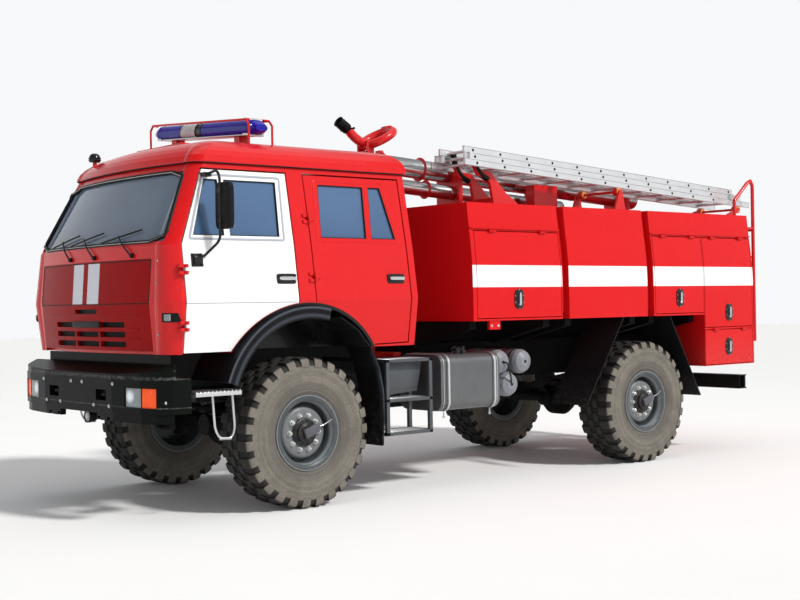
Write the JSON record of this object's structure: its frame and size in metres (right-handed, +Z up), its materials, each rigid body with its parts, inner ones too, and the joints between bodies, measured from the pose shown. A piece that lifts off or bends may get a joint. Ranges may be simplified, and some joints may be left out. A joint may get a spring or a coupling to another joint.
{
  "type": "four-wheel-drive double-cab fire engine",
  "caption": "Forward-control fire engine with a two-row crew cab, water tank body, side lockers, roof ladder, hose tubes, roof water cannon and blue light bar on single tyres.",
  "frame": {"origin": "on the ground, in the middle of the overall length and width", "axes": "+Z up, -Y towards the front bumper, +X towards the vehicle's left side"},
  "size_m": [2.7726, 7.7762, 3.4146],
  "materials": {
    "tyre_rubber": "matte",
    "wheel_grey": "satin",
    "chassis_black": "satin",
    "engine_iron": "matte",
    "glass": "clear",
    "white_paint": "gloss",
    "red_paint": "gloss",
    "grey_paint": "satin",
    "lamp_lens": "gloss",
    "blue_lens": "gloss",
    "black_plastic": "matte",
    "seat_fabric": "woven",
    "aluminium": "satin",
    "galvanised": "satin"
  },
  "bodies": {
    "chassis": {"access_ladder": "red_paint", "air_tanks": "grey_paint", "battery_box": "black_plastic", "cab_roof": "red_paint", "cab_shell": "red_paint", "dashboard": "black_plastic", "driveline": "chassis_black", "engine_block": "engine_iron", "frame_rails": "chassis_black", "front_axle": "chassis_black", "front_bumper": "white_paint", "front_locker": "red_paint", "front_panel": "red_paint", "fuel_tank": "grey_paint", "hose_tubes": "galvanised", "ladder": "aluminium", "ladder_rack": "red_paint", "lamps": "lamp_lens", "leaf_springs": "chassis_black", "light_bar": "blue_lens", "monitor_riser": "red_paint", "mudguards": "black_plastic", "rear_axle": "chassis_black", "rear_locker": "red_paint", "roof_siren": "black_plastic", "seats": "seat_fabric", "steps": "chassis_black", "water_tank": "red_paint", "windscreen": "glass"},
    "steering_left": {"knuckle_left": "chassis_black"},
    "steering_right": {"knuckle_right": "chassis_black"},
    "wheel_front_left": {"tyre_front_left": "tyre_rubber", "rim_front_left": "wheel_grey"},
    "wheel_rear_left": {"tyre_rear_left": "tyre_rubber", "rim_rear_left": "wheel_grey"},
    "wheel_front_right": {"tyre_front_right": "tyre_rubber", "rim_front_right": "wheel_grey"},
    "wheel_rear_right": {"tyre_rear_right": "tyre_rubber", "rim_rear_right": "wheel_grey"},
    "door_front_left": {"cab_door_front_left": "white_paint", "door_glass_front_left": "glass", "mirror_left": "black_plastic"},
    "door_front_right": {"cab_door_front_right": "white_paint", "door_glass_front_right": "glass", "mirror_right": "black_plastic"},
    "door_rear_left": {"cab_door_rear_left": "red_paint", "door_glass_rear_left": "glass"},
    "door_rear_right": {"cab_door_rear_right": "red_paint", "door_glass_rear_right": "glass"},
    "front_locker_door_left": {"front_locker_door_left": "red_paint"},
    "front_locker_door_right": {"front_locker_door_right": "red_paint"},
    "rear_locker_door_a_left": {"rear_locker_door_a_left": "red_paint"},
    "rear_locker_door_a_right": {"rear_locker_door_a_right": "red_paint"},
    "rear_locker_door_b_left": {"rear_locker_door_b_left": "red_paint"},
    "rear_locker_door_b_right": {"rear_locker_door_b_right": "red_paint"},
    "low_locker_door_left": {"low_locker_door_left": "red_paint"},
    "low_locker_door_right": {"low_locker_door_right": "red_paint"},
    "back_door": {"back_door": "red_paint"},
    "monitor": {"monitor_body": "red_paint"},
    "nozzle": {"monitor_nozzle": "black_plastic"}
  },
  "joints": [
    {"name": "steer_left", "type": "hinge", "parent": "chassis", "child": "steering_left", "pos_m": [0.838, -2.458, 0.612], "axis": [0, 0, 1], "range_deg": [-30, 30]},
    {"name": "steer_right", "type": "hinge", "parent": "chassis", "child": "steering_right", "pos_m": [-0.838, -2.458, 0.612], "axis": [0, 0, 1], "range_deg": [-30, 30]},
    {"name": "wheel_front_left_spin", "type": "hinge", "parent": "steering_left", "child": "wheel_front_left", "pos_m": [1.02, -2.458, 0.612], "axis": [1, 0, 0], "continuous": true},
    {"name": "wheel_rear_left_spin", "type": "hinge", "parent": "chassis", "child": "wheel_rear_left", "pos_m": [1.02, 1.742, 0.612], "axis": [1, 0, 0], "continuous": true},
    {"name": "wheel_front_right_spin", "type": "hinge", "parent": "steering_right", "child": "wheel_front_right", "pos_m": [-1.02, -2.458, 0.612], "axis": [1, 0, 0], "continuous": true},
    {"name": "wheel_rear_right_spin", "type": "hinge", "parent": "chassis", "child": "wheel_rear_right", "pos_m": [-1.02, 1.742, 0.612], "axis": [1, 0, 0], "continuous": true},
    {"name": "door_front_left_hinge", "type": "hinge", "parent": "chassis", "child": "door_front_left", "pos_m": [1.241, -3.578, 1.715], "axis": [0, 0, -1], "range_deg": [0, 70]},
    {"name": "door_front_right_hinge", "type": "hinge", "parent": "chassis", "child": "door_front_right", "pos_m": [-1.241, -3.578, 1.715], "axis": [0, 0, 1], "range_deg": [0, 70]},
    {"name": "door_rear_left_hinge", "type": "hinge", "parent": "chassis", "child": "door_rear_left", "pos_m": [1.22319, -2.368, 1.873], "axis": [0.1693, 0, -0.9856], "range_deg": [0, 80]},
    {"name": "door_rear_right_hinge", "type": "hinge", "parent": "chassis", "child": "door_rear_right", "pos_m": [-1.22319, -2.368, 1.873], "axis": [0.1693, 0, 0.9856], "range_deg": [0, 80]},
    {"name": "front_locker_door_left_lift", "type": "hinge", "parent": "chassis", "child": "front_locker_door_left", "pos_m": [1.2214, -0.058, 2.2915], "axis": [0, -1, 0], "range_deg": [0, 100]},
    {"name": "front_locker_door_right_lift", "type": "hinge", "parent": "chassis", "child": "front_locker_door_right", "pos_m": [-1.2214, -0.058, 2.2915], "axis": [0, 1, 0], "range_deg": [0, 100]},
    {"name": "rear_locker_door_a_left_lift", "type": "hinge", "parent": "chassis", "child": "rear_locker_door_a_left", "pos_m": [1.2214, 2.262, 2.2915], "axis": [0, -1, 0], "range_deg": [0, 100]},
    {"name": "rear_locker_door_a_right_lift", "type": "hinge", "parent": "chassis", "child": "rear_locker_door_a_right", "pos_m": [-1.2214, 2.262, 2.2915], "axis": [0, 1, 0], "range_deg": [0, 100]},
    {"name": "rear_locker_door_b_left_lift", "type": "hinge", "parent": "chassis", "child": "rear_locker_door_b_left", "pos_m": [1.2214, 3.082, 2.2915], "axis": [0, -1, 0], "range_deg": [0, 100]},
    {"name": "rear_locker_door_b_right_lift", "type": "hinge", "parent": "chassis", "child": "rear_locker_door_b_right", "pos_m": [-1.2214, 3.082, 2.2915], "axis": [0, 1, 0], "range_deg": [0, 100]},
    {"name": "low_locker_door_left_lift", "type": "hinge", "parent": "chassis", "child": "low_locker_door_left", "pos_m": [1.263, 3.082, 1.3135], "axis": [0, -1, 0], "range_deg": [0, 90]},
    {"name": "low_locker_door_right_lift", "type": "hinge", "parent": "chassis", "child": "low_locker_door_right", "pos_m": [-1.263, 3.082, 1.3135], "axis": [0, 1, 0], "range_deg": [0, 90]},
    {"name": "back_door_lift", "type": "hinge", "parent": "chassis", "child": "back_door", "pos_m": [0, 3.54, 2.3035], "axis": [1, 0, 0], "range_deg": [0, 100]},
    {"name": "monitor_slew", "type": "hinge", "parent": "chassis", "child": "monitor", "pos_m": [0, -0.873, 3.0403], "axis": [0, 0, 1], "range_deg": [-170, 170]},
    {"name": "monitor_elevation", "type": "hinge", "parent": "monitor", "child": "nozzle", "pos_m": [0, -0.873, 3.1703], "axis": [-1, 0, 0], "range_deg": [-35, 42]}
  ],
  "couplings": [
    {"joint": "steer_right", "follows": "steer_left", "ratio": 1}
  ]
}
